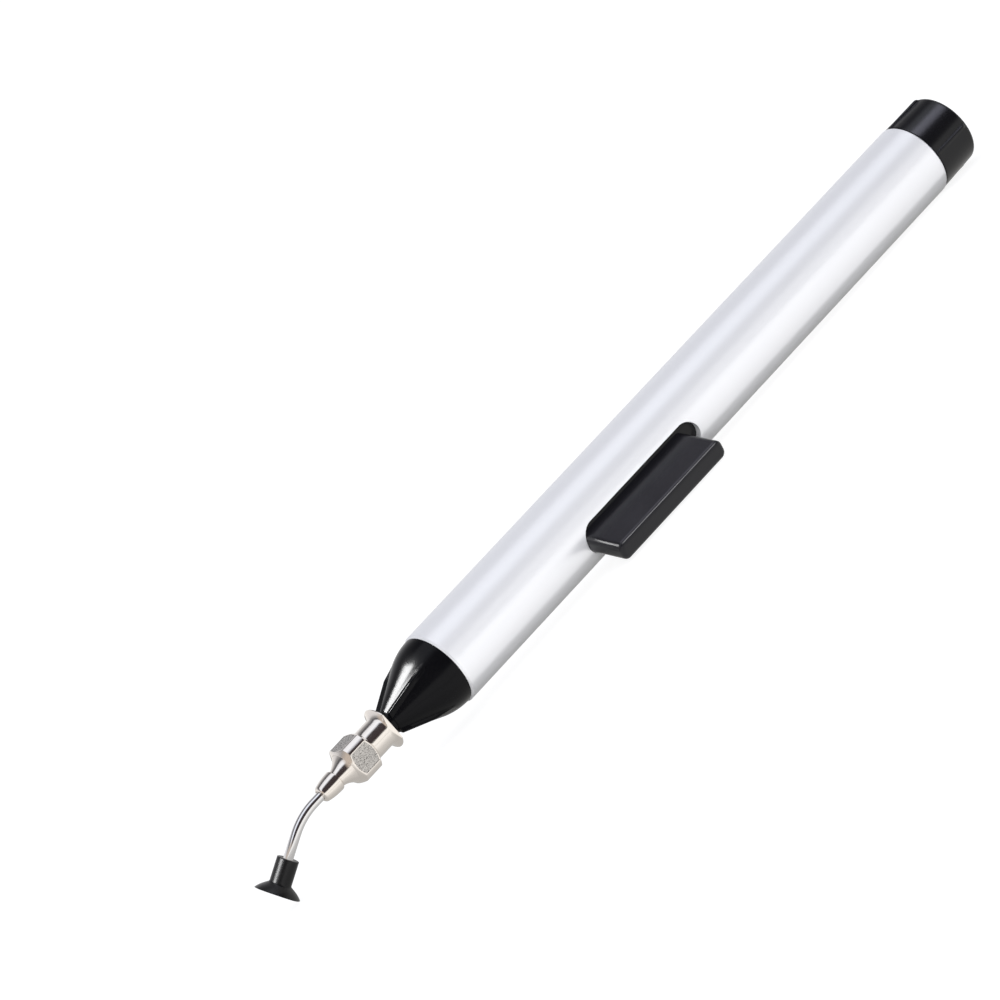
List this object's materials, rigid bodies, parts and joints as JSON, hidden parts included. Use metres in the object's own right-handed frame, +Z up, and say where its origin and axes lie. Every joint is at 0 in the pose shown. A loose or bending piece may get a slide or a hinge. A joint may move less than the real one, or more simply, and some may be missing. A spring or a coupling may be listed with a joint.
{
  "type": "vacuum pick-up pump",
  "caption": "Pen-shaped hand vacuum pick-up pump with a press button in a slotted metal barrel, a ribbed nose cone, and a turnable bent needle with a rubber suction cup.",
  "frame": {"origin": "under the middle of the pen's box, on the surface it lies on", "axes": "+X along the barrel from the suction cup to the end cap, +Z up, the button out to -Y; the pen lies on its button, its cup and its cap"},
  "size_m": [0.1822, 0.022, 0.016],
  "materials": {
    "barrel_metal": "satin anodised",
    "black_gloss": "moulded, glossy",
    "black_satin": "moulded, satin",
    "plated_metal": "nickel plated brass",
    "needle_steel": "drawn and polished",
    "cup_rubber": "matt moulded rubber",
    "tube_rubber": "soft silicone",
    "ring_metal": "plain"
  },
  "bodies": {
    "pen": {"barrel": "barrel_metal", "nose_cone": "black_gloss", "end_cap": "black_satin", "squeeze_tube": "tube_rubber", "tube_stopper": "black_satin", "front_clamp": "ring_metal", "rear_clamp": "ring_metal"},
    "button": {"button": "black_satin"},
    "needle_head": {"needle_hub": "plated_metal", "needle": "needle_steel", "suction_cup": "cup_rubber"}
  },
  "joints": [
    {"name": "button_press", "type": "slide", "parent": "pen", "child": "button", "axis": [0.0063, 0.891, 0.4539], "range_m": [0, 0.0045], "stiffness_N_per_m": 900, "springref_m": -0.001, "deforming": ["squeeze_tube"]},
    {"name": "needle_turn", "type": "hinge", "parent": "pen", "child": "needle_head", "pos_m": [-0.06246, 0.00298, 0.00922], "axis": [0.9999, 0, -0.0138], "continuous": true}
  ]
}
